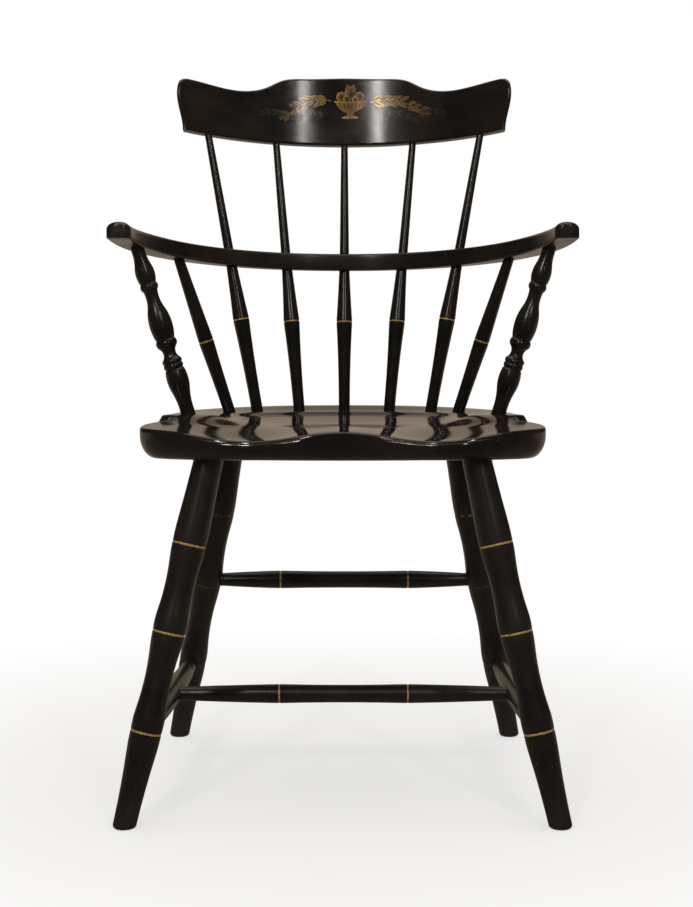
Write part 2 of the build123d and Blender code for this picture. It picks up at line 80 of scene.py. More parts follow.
def noise(tree, place, scale, detail=2.0, rough=0.5):
    sockets = {"Vector": place, "Scale": scale, "Detail": detail, "Roughness": rough}
    return add_node(tree, "ShaderNodeTexNoise", sockets).outputs[0]


def stretched(tree, place, factors):
    sockets = {0: place, 1: factors}
    return add_node(tree, "ShaderNodeVectorMath", sockets, operation="MULTIPLY").outputs[0]


def new_group(name, inputs, outputs):
    """An empty shader node group with named sockets."""
    group = bpy.data.node_groups.new(name, "ShaderNodeTree")
    for socket_name, kind, value in inputs:
        socket = group.interface.new_socket(socket_name, in_out="INPUT", socket_type=kind)
        socket.default_value = value
    for socket_name, kind in outputs:
        group.interface.new_socket(socket_name, in_out="OUTPUT", socket_type=kind)
    return group, group.nodes.new("NodeGroupInput").outputs, group.nodes.new("NodeGroupOutput")


FILM_BLACK = (0.0075, 0.0066, 0.0058, 1)  # the lacquer, a slightly warm black
RUBBED_BROWN = (0.030, 0.019, 0.012, 1)  # where polish and hands have thinned it
DUST_GREY = (0.30, 0.27, 0.23, 1)

# Lacquer over wood. Place is in metres with Z along the grain. The grain telegraphs through
# the film as fine long ripples, the film has its own orange peel, and there are rub marks,
# hairline scratches and a few specks of dust caught in it.
lacquer_film, given, put_out = new_group(
    "lacquer_film",
    [
        ("Place", "NodeSocketVector", (0, 0, 0)),
        ("Film", "NodeSocketColor", FILM_BLACK),
        ("Rubbed", "NodeSocketColor", RUBBED_BROWN),
        ("Rubbing", "NodeSocketFloat", 0.5),
        ("Grain", "NodeSocketFloat", 1.0),
        ("Dust", "NodeSocketFloat", 0.5),
        ("Base roughness", "NodeSocketFloat", 0.25),
    ],
    [("Color", "NodeSocketColor"), ("Roughness", "NodeSocketFloat"), ("Height", "NodeSocketFloat")],
)
tree = lacquer_film
place = given["Place"]
ripples = noise(tree, stretched(tree, place, (420, 420, 9)), 1.0, 5, 0.6)
pores = map_range(tree, noise(tree, stretched(tree, place, (1500, 1500, 60)), 1.0, 2), 0.62, 0.75)
peel = noise(tree, place, 520.0, 3, 0.55)
clouds = map_range(tree, noise(tree, place, 11.0, 4, 0.6), 0.40, 0.72)
rubs = map_range(tree, noise(tree, stretched(tree, place, (55, 55, 14)), 1.0, 6, 0.7), 0.52, 0.80)
scratches = map_range(
    tree, noise(tree, stretched(tree, place, (900, 60, 160)), 1.0, 2, 0.4), 0.735, 0.78
)
cells = add_node(tree, "ShaderNodeTexVoronoi", {"Vector": place, "Scale": 95.0})
near_speck = map_range(tree, cells.outputs["Distance"], 0.035, 0.075, 1.0, 0.0)
chosen = add_node(tree, "ShaderNodeSeparateColor", {0: cells.outputs["Color"]}).outputs[0]
specks = calculate(tree, "MULTIPLY", near_speck, map_range(tree, chosen, 0.86, 0.88))
specks = calculate(tree, "MULTIPLY", specks, given["Dust"])
rubbing = calculate(tree, "MULTIPLY", calculate(tree, "ADD", rubs, clouds), given["Rubbing"])
tint = blend_colors(tree, rubbing, given["Film"], given["Rubbed"])
tint = blend_colors(tree, calculate(tree, "MULTIPLY", specks, 0.55), tint, DUST_GREY)
tree.links.new(tint, put_out.inputs["Color"])
dulling = calculate(tree, "MULTIPLY", clouds, 0.06)
for mask, amount in ((rubbing, 0.10), (scratches, 0.12), (specks, 0.30), (ripples, 0.05)):
    dulling = calculate(tree, "ADD", dulling, calculate(tree, "MULTIPLY", mask, amount))
roughness = calculate(tree, "ADD", given["Base roughness"], dulling)
tree.links.new(calculate(tree, "MINIMUM", roughness, 0.9), put_out.inputs["Roughness"])
relief = calculate(tree, "MULTIPLY", ripples, calculate(tree, "MULTIPLY", given["Grain"], 0.55))
for mask, amount in ((pores, -0.10), (peel, 0.16), (scratches, -0.12), (specks, 0.5)):
    relief = calculate(tree, "ADD", relief, calculate(tree, "MULTIPLY", mask, amount))
tree.links.new(relief, put_out.inputs["Height"])


def straight_place(tree, start, along):
    """Coordinates with their origin at a point and Z along a piece's straight grain."""
    turn = Vector(along).rotation_difference(Vector((0, 0, 1)))
    position = add_node(tree, "ShaderNodeTexCoord").outputs["Object"]
    sockets = {
        "Vector": position,
        "Location": -(turn.to_matrix() @ Vector(start)),
        "Rotation": turn.to_euler(),
    }
    return add_node(tree, "ShaderNodeMapping", sockets).outputs[0]


def new_material(name):
    material = bpy.data.materials.new(name)
    material.use_nodes = True
    return material, material.node_tree, material.node_tree.nodes["Principled BSDF"]


def finish_with_lacquer(tree, shader, place, relief_depth=0.00002, **values):
    """Joins a lacquer film to a material's shader, and returns the film's colour."""
    film = add_node(tree, "ShaderNodeGroup", node_tree=lacquer_film)
    tree.links.new(place, film.inputs["Place"])
    for name, value in values.items():
        film.inputs[name.replace("_", " ").capitalize()].default_value = value
    bump = add_node(tree, "ShaderNodeBump", {"Height": film.outputs["Height"]})
    bump.inputs["Distance"].default_value = relief_depth
    tree.links.new(film.outputs["Roughness"], shader.inputs["Roughness"])
    tree.links.new(bump.outputs[0], shader.inputs["Normal"])
    tree.links.new(film.outputs["Color"], shader.inputs["Base Color"])
    return film.outputs["Color"]


def put_on(node, material):
    """Gives a CAD node its finish in place of the plain one that it comes with."""
    mesh = nodes[node].data
    mesh.materials.clear()
    mesh.materials.append(material)


seat_material, tree, shader = new_material("polished_seat_lacquer")
finish_with_lacquer(
    tree,
    shader,
    straight_place(tree, (0, 0, 0), (0, 1, 0)),
    relief_depth=0.000015,
    base_roughness=0.045,
    rubbing=0.35,
    grain=0.5,
    dust=0.7,
)


def surface_of(node):
    mesh = nodes[node].data
    corners = [vertex.co for vertex in mesh.vertices]
    return BVHTree.FromPolygons(corners, [tuple(face.vertices) for face in mesh.polygons])


def mesh_piece(name, points, faces, material, smooth=True):
    """A new piece of the chair, made in place in the frame's own coordinates."""
    mesh = bpy.data.meshes.new(name)
    mesh.from_pydata([tuple(point) for point in points], [], faces)
    mesh.materials.append(material)
    mesh.polygons.foreach_set("use_smooth", [smooth] * len(mesh.polygons))
    mesh.update()
    piece = bpy.data.objects.new(name, mesh)
    bpy.context.scene.collection.objects.link(piece)
    return piece


def closed_skin(rows, columns):
    """Faces that wrap rows of points into a closed skin, with a lid at each end."""
    faces = [tuple(reversed(range(columns)))]
    for row in range(rows - 1):
        low, high = row * columns, (row + 1) * columns
        for step in range(columns):
            beside = (step + 1) % columns
            faces.append((low + step, low + beside, high + beside, high + step))
    faces.append(tuple(range((rows - 1) * columns, rows * columns)))
    return faces


# The plank is worked in millimetres from its own middle: across, back and up from the floor.
MM = 0.001
PLANK_FRONT = 215.0
PLANK_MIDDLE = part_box("seat")[0].y / MM + PLANK_FRONT
DECK_HEIGHT = 460.0
DECK_FALL = 0.033  # drop of the deck for each mm towards the back
PLANK_THICKNESS = 50.0
RIM_WIDTH = 44.0  # the edge of the deck stays level, and curves up to that from the spindles
UNDER_ROUND_WIDTH = 21.0
UNDER_ROUND_HEIGHT = 28.0
BACK_EDGE_ROUND = 2.0
FRONT_EDGE_ROUND = 3.4
FRONT_EDGE_PLACES = (-40.0, -100.0)  # distances back between which one becomes the other
WAIST = -45.0
GUTTER_HALF_WIDTH = 168.0
GUTTER_REACH = 203.0  # from the waist to the back of the gutter
GUTTER_DEPTH = 3.5
GUTTER_SLOPE = (15.0, 46.0)  # width of its eased side: at the back, and by the shoulders
GUTTER_SLOPE_PLACES = (70.0, -40.0)  # distances back between which that changes
SHOULDER_PLACE = -62.0
SHOULDER_EASE = (60.0, 15.0)  # width of the step: inboard, and at the edge of the plank
SHOULDER_EDGE = (194.0, 214.0)  # distances across between which it changes
SHOULDER_LEAD = 0.3  # share of the step that is done at its place
HOLLOW_DEPTH, HOLLOW_POWER = 14.0, 1.2
RIDGE_HEIGHT, RIDGE_WIDTH = 6.0, 38.0
RIDGE_PLACES = (60.0, -100.0)  # distances back between which the ridge rises
FRONT_DROP, FRONT_DROP_START = 12.5, 20.0
THIGH_DROP, THIGH_SPACING = 11.0, 218.0
CORNER_TURN = math.radians(45.2)  # the plank runs out over the rear legs, to squarish corners
CORNER_SPREAD = math.radians(22)
CORNER_REACH = 26.0
CORNER_FALL = 0.003  # drop of the top for each squared mm out over a corner
CORNER_ROUND_WIDTH, CORNER_ROUND_HEIGHT = 9.0, 13.0


def smooth_step(share):
    share = min(max(share, 0.0), 1.0)
    return share * share * (3 - 2 * share)


def eased(value, none, full):
    """0 up to one value and 1 from another, with an eased change between them."""
    return smooth_step((value - none) / (full - none))


def between(low, high, share):
    return low + (high - low) * share


def seat_top(across, back, from_edge):
    """Height of the carved top at a place, which lies some way in from the plank's edge."""
    wide = abs(across) / GUTTER_HALF_WIDTH
    deep = max(back - WAIST, 0) / GUTTER_REACH
    reach = math.hypot(wide, deep)
    hollow = HOLLOW_DEPTH * max(1 - reach**2, 0) ** HOLLOW_POWER
    ridge = RIDGE_HEIGHT * math.exp(-((across / RIDGE_WIDTH) ** 2))
    ridge *= eased(back, *RIDGE_PLACES)
    toward_front = eased(back, FRONT_DROP_START, -PLANK_FRONT)
    thighs = THIGH_DROP * math.sin(math.pi * across / THIGH_SPACING) ** 2
    carved = GUTTER_DEPTH + max(hollow - ridge, 0) * (1 - toward_front)
    carved += toward_front * FRONT_DROP + toward_front**2 * thighs
    slope = between(*GUTTER_SLOPE, eased(back, *GUTTER_SLOPE_PLACES))
    in_gutter = smooth_step((1 - reach) * GUTTER_HALF_WIDTH / slope)
    ease = between(*SHOULDER_EASE, eased(abs(across), *SHOULDER_EDGE))
    ahead = smooth_step((SHOULDER_PLACE - back) / ease + SHOULDER_LEAD)
    rim = smooth_step(1 - from_edge / RIM_WIDTH) if back > 0 else 0.0
    deck = DECK_HEIGHT - DECK_FALL * back * (1 - rim)
    return deck - carved * (1 - (1 - in_gutter) * (1 - ahead))


seat_surface = surface_of("seat")
OUTLINE_STEPS = 720
SIDE_LEVELS = (424, 430, 436, 442, 448)  # heights at which the side of the plank is felt for
CASTING_REACH = 500.0  # starts outside the plank, to feel for its side
SMOOTHING_STEPS = 4  # steps of the outline on each side that are averaged


def plank_reach(turn):
    """How far the plank reaches from its middle in one direction."""
    outward = Vector((math.cos(turn), math.sin(turn), 0))
    found = []
    for level in SIDE_LEVELS:
        start = Vector((0, PLANK_MIDDLE, level)) + outward * CASTING_REACH
        found.append(CASTING_REACH - seat_surface.ray_cast(start * MM, -outward)[3] / MM)
    return max(found)


def corner_share(turn):
    """How far a direction belongs to one of the two back corners, from 0 to 1."""
    return sum(
        math.exp(-(((turn - corner) / CORNER_SPREAD) ** 2))
        for corner in (CORNER_TURN, math.pi - CORNER_TURN)
    )


def top_at(out, toward, sawn):
    """Height of the top some way out from the middle, where the plain outline is at sawn."""
    over_corner = max(out - sawn, 0)
    return seat_top(out * toward[0], out * toward[1], sawn - out) - CORNER_FALL * over_corner**2


turns = np.arange(OUTLINE_STEPS) * math.tau / OUTLINE_STEPS
reaches = np.array([plank_reach(turn) for turn in turns])
window = np.hanning(2 * SMOOTHING_STEPS + 1)
wrapped = np.r_[reaches[-SMOOTHING_STEPS:], reaches, reaches[:SMOOTHING_STEPS]]
reaches = np.convolve(wrapped, window / window.sum(), "valid")

# The skin has a column of points for each direction, closer together at the shoulders. Each
# goes out along the underside, up round the side, and in over the top.
DIRECTION_STEP = 1.5  # degrees
SHOULDER_STEP, SHOULDER_STEPS = 0.25, 18  # degrees, and steps on each side of a shoulder
SHOULDER_CORNER = (220.0, -64.0)
UNDERSIDE_SHARES = (0.01, 0.35, 0.7)
QUARTER_ROUND = [math.radians(9 * step) for step in range(11)]
TOP_STEPS = 100
TOP_REACH = 0.99  # share of the way to the middle, where a small lid closes the skin

shoulder_turn = math.atan2(SHOULDER_CORNER[1], SHOULDER_CORNER[0])
steps_round = range(round(360 / DIRECTION_STEP))
directions = {round(math.radians(DIRECTION_STEP * step), 6) for step in steps_round}
for middle in (shoulder_turn, math.pi - shoulder_turn):
    for step in range(-SHOULDER_STEPS, SHOULDER_STEPS + 1):
        turn = middle + math.radians(SHOULDER_STEP * step)
        directions.add(round(turn % math.tau, 6))
directions = sorted(directions)
columns = []
for turn in directions:
    sawn = float(np.interp(turn, turns, reaches, period=math.tau))
    corner = corner_share(turn)
    reach = sawn + CORNER_REACH * corner
    under_width = between(UNDER_ROUND_WIDTH, CORNER_ROUND_WIDTH, corner)
    under_height = between(UNDER_ROUND_HEIGHT, CORNER_ROUND_HEIGHT, corner)
    toward = (math.cos(turn), math.sin(turn))
    in_front = eased(reach * toward[1], *FRONT_EDGE_PLACES)
    edge_round = between(BACK_EDGE_ROUND, FRONT_EDGE_ROUND, in_front)
    lip = top_at(reach - edge_round, toward, sawn)
    under = DECK_HEIGHT - PLANK_THICKNESS - DECK_FALL * reach * toward[1]
    height = min(under_height, lip - edge_round - under)
    column = []
    for share in UNDERSIDE_SHARES:
        out = share * (reach - under_width)
        column.append((out, DECK_HEIGHT - PLANK_THICKNESS - DECK_FALL * out * toward[1]))
    for lean in QUARTER_ROUND:
        out = reach - under_width * (1 - math.sin(lean))
        column.append((out, under + height * (1 - math.cos(lean))))
    for lean in QUARTER_ROUND:
        out = reach - edge_round * (1 - math.cos(lean))
        column.append((out, lip - edge_round * (1 - math.sin(lean))))
    for step in range(1, TOP_STEPS + 1):
        out = (reach - edge_round) * (1 - TOP_REACH * step / TOP_STEPS)
        column.append((out, top_at(out, toward, sawn)))
    columns.append(
        [Vector((out * toward[0], PLANK_MIDDLE + out * toward[1], up)) * MM for out, up in column]
    )
points = [point for row in zip(*columns) for point in row]
faces = closed_skin(len(columns[0]), len(columns))
seat = mesh_piece("carved_seat", points, faces, seat_material)
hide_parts("seat")
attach(seat, "root")

# ======== legs ========
# Four maple legs, turned on a lathe to look like bamboo: three cut rings, and a swell at each.
# They are socketed and glued in the seat, and lacquered with it. A brush line of gold bronze
# paint runs round each ring, bright on the front legs and rubbed away on the rear ones.

FLAT_DEPTH = 0.0004  # a point this close to an end, in metres, is on the end's flat disc
FOOT_SLICE = 0.015  # height of a slice through a leg, above its rounded foot
RING_HALF_WIDTH = 0.0015  # of a cut ring
RING_DEPTH = 0.0009
RING_SLICES = 4  # thin slices of a piece in half a cut ring
CIRCLE_POINTS = 16  # fewest points of a slice that can be a turned circle
CIRCLE_SHARE = 0.6  # share of them that has to lie at one radius
CIRCLE_EVENNESS = 0.1  # how closely, as a share of a ring's depth
LIP_SHARE = 0.8  # how far both lips of a ring stand out, as a share of its depth
AIMING_ROUNDS = 12  # times that a centre line is aimed again at the end discs


def points_of(node):
    mesh = nodes[node].data
    found = np.empty(len(mesh.vertices) * 3, np.float32)
    mesh.vertices.foreach_get("co", found)
    return found.reshape(-1, 3).astype(float)


def middle_of(points):
    return (points.min(axis=0) + points.max(axis=0)) / 2


def slice_middle(node, height):
    """The middle of a level slice through a node."""
    mesh = nodes[node].data
    ends = np.empty(len(mesh.edges) * 2, np.int32)
    mesh.edges.foreach_get("vertices", ends)
    low, high = points_of(node)[ends.reshape(-1, 2)].transpose(1, 0, 2)
    crossing = (low[:, 2] - height) * (high[:, 2] - height) < 0
    low, high = low[crossing], high[crossing]
    share = (height - low[:, 2]) / (high[:, 2] - low[:, 2])
    return middle_of(low + (high - low) * share[:, None])


def center_line(node, start=None):
    """Two points of a turned piece's centre line, from the flat discs that it ends in. Where a
    start is given, only the far end is looked for."""
    points = points_of(node)
    longest = np.ptp(points, axis=0).argmax()
    near = points[points[:, longest].argmin()] if start is None else start
    far = points[points[:, longest].argmax()]
    for _ in range(AIMING_ROUNDS):
        along = (far - near) / np.linalg.norm(far - near)
        distance = points @ along
        if start is None:
            near = middle_of(points[distance < distance.min() + FLAT_DEPTH])
        far = middle_of(points[distance > distance.max() - FLAT_DEPTH])
    return near, far


def leg_center_line(node):
    """A leg is sawn level at the floor, so its line starts at a slice just above its foot."""
    return center_line(node, slice_middle(node, FOOT_SLICE))


def cut_rings(node, start, end):
    """The direction of a turned piece, and the middle and floor radius of its cut rings."""
    points = points_of(node)
    along = (end - start) / np.linalg.norm(end - start)
    distance = (points - start) @ along
    radius = np.linalg.norm(points - start - np.outer(distance, along), axis=1)
    step = RING_HALF_WIDTH / RING_SLICES
    places = np.round(distance / step).astype(int)
    circles = {}
    for place in np.unique(places):
        radii = radius[places == place]
        usual = np.median(radii)
        even = abs(radii - usual) < CIRCLE_EVENNESS * RING_DEPTH
        if len(radii) > CIRCLE_POINTS and np.mean(even) > CIRCLE_SHARE:
            circles[place] = usual
    found = []
    for place, floor in circles.items():
        lips = [
            max(circles.get(place + side * RING_SLICES + near, 0) for near in (-1, 0, 1))
            for side in (-1, 1)
        ]
        if min(lips) > floor + LIP_SHARE * RING_DEPTH:
            found.append((np.median(distance[places == place]), floor))
    rings = [
        (start + along * place, floor)
        for place, floor in found
        if not any(0 < place - other < RING_HALF_WIDTH for other, _ in found)
    ]
    return along, rings


PAINT_THICKNESS = 0.00012
PAINT_SINK = 0.00015  # the back of the paint lies this far inside the wood
LINE_STEPS, LINE_CORNERS = 72, 6  # round the piece, and round the line's own section
RING_HALF_LINE = 0.00115  # half the width of a painted line


def gold_line(name, middle, along, floor, material, half_width, seed):
    """A ring of paint that fills a cut ring, with the uneven edges of a hand-held brush."""
    draw = random.Random(seed)
    side = np.cross(along, (0.3, 0.9, 0.2))
    side /= np.linalg.norm(side)
    other = np.cross(along, side)
    waves = [(count, draw.uniform(0, math.tau), draw.uniform(0.03, 0.09)) for count in (2, 5, 11)]
    slope = RING_DEPTH / RING_HALF_WIDTH
    points, faces = [], []
    for step in range(LINE_STEPS):
        angle = math.tau * step / LINE_STEPS
        outward = side * math.cos(angle) + other * math.sin(angle)
        widths = []
        for edge_phase in (0.0, 2.0):
            wobble = sum(
                size * math.sin(count * angle + phase + edge_phase) for count, phase, size in waves
            )
            widths.append(half_width * (1 + wobble))
        low, high = -widths[0], widths[1]
        face_side = [(low, PAINT_THICKNESS), (0.0, 2 * PAINT_THICKNESS), (high, PAINT_THICKNESS)]
        back_side = [(high, -PAINT_SINK), (0.0, -PAINT_SINK), (low, -PAINT_SINK)]
        for place, lift in face_side + back_side:
            radius = floor + slope * abs(place) + lift
            points.append(middle + along * place + outward * radius)
        first = LINE_CORNERS * step
        following = LINE_CORNERS * ((step + 1) % LINE_STEPS)
        for corner in range(LINE_CORNERS):
            beside = (corner + 1) % LINE_CORNERS
            faces.append((first + corner, first + beside, following + beside, following + corner))
    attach(mesh_piece(name, points, faces, material), "root")


GOLD_BRIGHT = (0.60, 0.38, 0.135, 1)
GOLD_DEEP = (0.30, 0.17, 0.055, 1)

# Bronze powder in varnish. It lies unevenly, and it is rubbed through to the black in places.
gold_paint, given, put_out = new_group(
    "gold_paint",
    [
        ("Place", "NodeSocketVector", (0, 0, 0)),
        ("Cover", "NodeSocketFloat", 1.0),
    ],
    [("Color", "NodeSocketColor"), ("Gold", "NodeSocketFloat"), ("Height", "NodeSocketFloat")],
)
tree = gold_paint
streaks = noise(tree, given["Place"], 260.0, 5, 0.65)
powder = noise(tree, given["Place"], 2600.0, 2, 0.5)
bald = calculate(tree, "ADD", streaks, calculate(tree, "MULTIPLY", powder, 0.25))
edge = calculate(tree, "SUBTRACT", 0.98, calculate(tree, "MULTIPLY", given["Cover"], 0.62))
covered = map_range(tree, bald, calculate(tree, "SUBTRACT", edge, 0.09), edge)
tint = blend_colors(tree, map_range(tree, streaks, 0.35, 0.65), GOLD_DEEP, GOLD_BRIGHT)
tree.links.new(blend_colors(tree, covered, RUBBED_BROWN, tint), put_out.inputs["Color"])
tree.links.new(covered, put_out.inputs["Gold"])
tree.links.new(calculate(tree, "MULTIPLY", powder, covered), put_out.inputs["Height"])


def gold_material(name, cover):
    material, tree, shader = new_material(name)
    place = add_node(tree, "ShaderNodeTexCoord").outputs["Object"]
    paint = add_node(tree, "ShaderNodeGroup", node_tree=gold_paint)
    tree.links.new(place, paint.inputs["Place"])
    paint.inputs["Cover"].default_value = cover
    tree.links.new(paint.outputs["Color"], shader.inputs["Base Color"])
    metallic = calculate(tree, "MULTIPLY", paint.outputs["Gold"], 0.35)
    tree.links.new(metallic, shader.inputs["Metallic"])
    shader.inputs["Roughness"].default_value = 0.42
    bump = add_node(tree, "ShaderNodeBump", {"Height": paint.outputs["Height"]})
    bump.inputs["Distance"].default_value = 0.00005
    tree.links.new(bump.outputs[0], shader.inputs["Normal"])
    return material


bright_line = gold_material("gold_line_bright", 1.0)
worn_line = gold_material("gold_line_worn", 0.62)
faint_line = gold_material("gold_line_faint", 0.30)


def turned_piece(node, start, end, line_material=None, roughness=0.24, half_width=RING_HALF_LINE):
    """Lacquers a turned piece along its own grain, and paints its cut rings if it has paint."""
    along, rings = cut_rings(node, start, end)
    material, tree, shader = new_material(f"lacquer_{node}")
    finish_with_lacquer(
        tree,
        shader,
        straight_place(tree, start, along),
        relief_depth=0.00001,
        base_roughness=roughness,
        rubbing=0.45,
        dust=0.5,
    )
    put_on(node, material)
    for count, (middle, floor) in enumerate(rings if line_material else [], 1):
        name = f"gold_line_{node}_{count}"
        gold_line(name, middle, along, floor, line_material, half_width, len(node) + count)


for side in ("left", "right"):
    turned_piece(f"leg_front_{side}", *leg_center_line(f"leg_front_{side}"), bright_line)
    turned_piece(f"leg_rear_{side}", *leg_center_line(f"leg_rear_{side}"), faint_line)

# ======== stretchers ========
# Slim turned rails that tie the legs: one down each side, one between those, and one across
# the back. Their ends are glued in holes. The cross and rear ones have two painted rings.

for side in ("left", "right"):
    turned_piece(f"side_stretcher_{side}", *center_line(f"side_stretcher_{side}"), faint_line)
for node in ("cross_stretcher", "rear_stretcher"):
    turned_piece(node, *center_line(node), worn_line)

# ======== spindles and arm posts ========
# The sticks of the back are turned from straight-grained wood. Five long ones pass up through
# the arm rail to the crest, and a short one stands on each side of them, with one painted
# ring each. A heavier turned baluster carries each arm, and is plain black.

SPINDLES = ["center", "inner_left", "inner_right", "outer_left", "outer_right"]
for place in SPINDLES:
    node = f"long_spindle_{place}"
    turned_piece(node, *center_line(node), bright_line, roughness=0.10, half_width=0.0008)
for side in ("left", "right"):
    node = f"short_spindle_{side}"
    turned_piece(node, *center_line(node), bright_line, roughness=0.10, half_width=0.0009)
    turned_piece(f"arm_post_{side}", *center_line(f"arm_post_{side}"), roughness=0.18)

# ======== arm rail ========
# One long stick, steamed and bent round the back to a horseshoe, and shaped to hand grips.
# The spindles pass through it and the posts end in it. Three pins, driven in from outside and
# lacquered over, lock it to the centre spindle and to the two outer ones.


def bent_place(tree, middle, radius):
    """Coordinates whose Z runs round an upright axis, along the grain of a bent piece."""
    position = add_node(tree, "ShaderNodeTexCoord").outputs["Object"]
    parts = add_node(tree, "ShaderNodeSeparateXYZ", {0: position}).outputs
    from_middle = calculate(tree, "SUBTRACT", parts["Y"], middle)
    angle = calculate(tree, "ARCTAN2", parts["X"], from_middle)
    squared = calculate(tree, "MULTIPLY", parts["X"], parts["X"])
    squared = calculate(tree, "ADD", squared, calculate(tree, "MULTIPLY", from_middle, from_middle))
    sockets = {
        "X": calculate(tree, "SQRT", squared),
        "Y": parts["Z"],
        "Z": calculate(tree, "MULTIPLY", angle, radius),
    }
    return add_node(tree, "ShaderNodeCombineXYZ", sockets).outputs[0]


rail_low, rail_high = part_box("arm_rail")
RAIL_HALF_SPREAD = 265.5  # middle of the rail at the hands, in millimetres as the plank
RAIL_BACK = 214.4
RAIL_WIDEST_PLACE = -120.0
RAIL_TIP = -132.0
RAIL_SQUARENESS = 2.1
RAIL_WIDTH, HAND_WIDTH = 33.0, 29.0
RAIL_UNDERSIDE, RAIL_FALL = 664.1, 0.0791  # height at the plank's middle, and drop per mm back
RAIL_TOP, RAIL_TOP_FALL = 685.4, 0.0713
RAIL_TOP_ROUND = (5.0, 13.0)  # on the bend, and at the hands
RAIL_TOP_FLATNESS = 0.7  # height of that round, as a share of its width
HAND_ROUND_ANGLES, HAND_NARROW_ANGLES = (62, 90), (70, 90)  # where a hand grows out of the bend
RAIL_STEP = 1.5  # degrees
RAIL_UNDER_ROUND = 2.2
HAND_ROUND = 9.5  # of the end of a hand, seen from above
HAND_DROOP = 5.0  # of the end of a hand, seen from the side
rail_material, tree, shader = new_material("lacquer_arm_rail")
finish_with_lacquer(
    tree,
    shader,
    bent_place(tree, rail_low.y, RAIL_HALF_SPREAD * MM),
    base_roughness=0.15,
    rubbing=0.6,
    dust=0.5,
)


def corner_arc(middle, rounds, first):
    """A quarter of an ellipse about a point, from an angle in degrees."""
    leans = [math.radians(first + 15 * step) for step in range(7)]
    return [
        (middle[0] + rounds[0] * math.cos(lean), middle[1] + rounds[1] * math.sin(lean))
        for lean in leans
    ]


def rail_section(half, low, high, top_round):
    """The rail's section, from its outer side: a slab with a well rounded top."""
    under = (RAIL_UNDER_ROUND, RAIL_UNDER_ROUND)
    above = (top_round, RAIL_TOP_FLATNESS * top_round)
    return [
        *corner_arc((half - above[0], high - above[1]), above, 0),
        *corner_arc((above[0] - half, high - above[1]), above, 90),
        *corner_arc((under[0] - half, low + under[1]), under, 180),
        *corner_arc((half - under[0], low + under[1]), under, 270),
    ]


def rail_station(angle, beyond=0.0):
    """A section of the rail at an angle from straight back, or past the end of the bend."""
    lean = math.radians(abs(angle))
    power = 2 / RAIL_SQUARENESS
    reach = RAIL_BACK - RAIL_WIDEST_PLACE
    across = RAIL_HALF_SPREAD * math.sin(lean) ** power
    back = RAIL_WIDEST_PLACE + reach * max(math.cos(lean), 0.0) ** power
    outward = Vector((
        (across / RAIL_HALF_SPREAD) ** (RAIL_SQUARENESS - 1) / RAIL_HALF_SPREAD,
        ((back - RAIL_WIDEST_PLACE) / reach) ** (RAIL_SQUARENESS - 1) / reach,
    )).normalized()
    half = between(RAIL_WIDTH, HAND_WIDTH, eased(abs(angle), *HAND_NARROW_ANGLES)) / 2
    top_round = between(*RAIL_TOP_ROUND, eased(abs(angle), *HAND_ROUND_ANGLES))
    back -= beyond
    low, high = RAIL_UNDERSIDE - RAIL_FALL * back, RAIL_TOP - RAIL_TOP_FALL * back
    straight = RAIL_WIDEST_PLACE - RAIL_TIP - HAND_ROUND
    if beyond > straight:
        turned_in = 1 - math.sqrt(max(1 - ((beyond - straight) / HAND_ROUND) ** 2, 0))
        half -= HAND_ROUND * turned_in
        high -= HAND_DROOP * turned_in
        low += RAIL_UNDER_ROUND * turned_in
        top_round = min(top_round, half)
    side = -1 if angle < 0 else 1
    section = rail_section(half, low, high, top_round)
    return [
        Vector((side * (across + out * outward.x), PLANK_MIDDLE + back + out * outward.y, up)) * MM
        for out, up in section
    ]


hand_steps = [
    RAIL_WIDEST_PLACE - RAIL_TIP - HAND_ROUND * (1 - math.sin(lean)) for lean in QUARTER_ROUND
]
stations = [rail_station(-90, beyond) for beyond in reversed(hand_steps)]
stations += [rail_station(angle) for angle in np.arange(-90, 90.1, RAIL_STEP)]
stations += [rail_station(90, beyond) for beyond in hand_steps]
points = [point for station in stations for point in station]
faces = closed_skin(len(stations), len(stations[0]))
rail = mesh_piece("shaped_arm_rail", points, faces, rail_material)
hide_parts("arm_rail")
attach(rail, "root")

PIN_RADIUS = 0.0026
PIN_RISE = 0.0004
PIN_SINK = 0.0010
PIN_STEPS = 28
PIN_CASTING_REACH = 0.2  # starts outside the piece, to feel for its face


def pin_head(name, surface, inside, outward, material):
    """The lacquered head of a pin, seen where a line leaves a piece. It is a low dome."""
    outward = Vector(outward).normalized()
    inside = Vector(inside)
    spot, normal, _, _ = surface.ray_cast(inside + outward * PIN_CASTING_REACH, -outward)
    facing = normal if normal.dot(outward) > 0 else -normal
    turn = facing.to_track_quat("Z", "Y")
    profile = [(1.0, -PIN_SINK)]  # share of the radius, and rise
    profile += [(1.0, 0.15 * PIN_RISE), (0.82, 0.65 * PIN_RISE), (0.45, 0.95 * PIN_RISE)]
    points = []
    for share, rise in profile:
        for step in range(PIN_STEPS):
            angle = math.tau * step / PIN_STEPS
            reach = PIN_RADIUS * share
            flat = Vector((reach * math.cos(angle), reach * math.sin(angle), rise))
            points.append(spot + turn @ flat)
    piece = mesh_piece(name, points, closed_skin(len(profile), PIN_STEPS), material)
    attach(piece, "root")


def point_at_height(node, height):
    """The point of a spindle's centre line at a height."""
    start, end = center_line(node)
    spot = start + (end - start) * (height - start[2]) / (end[2] - start[2])
    return Vector(spot)


rail_surface = surface_of("arm_rail")
rail_middle = (rail_low.z + rail_high.z) / 2
for place in ("center", "outer_left", "outer_right"):
    spot = point_at_height(f"long_spindle_{place}", rail_middle)
    away = Vector((spot.x, spot.y - rail_low.y, 0))
    pin_head(f"pin_head_rail_{place}", rail_surface, spot, away, rail_material)

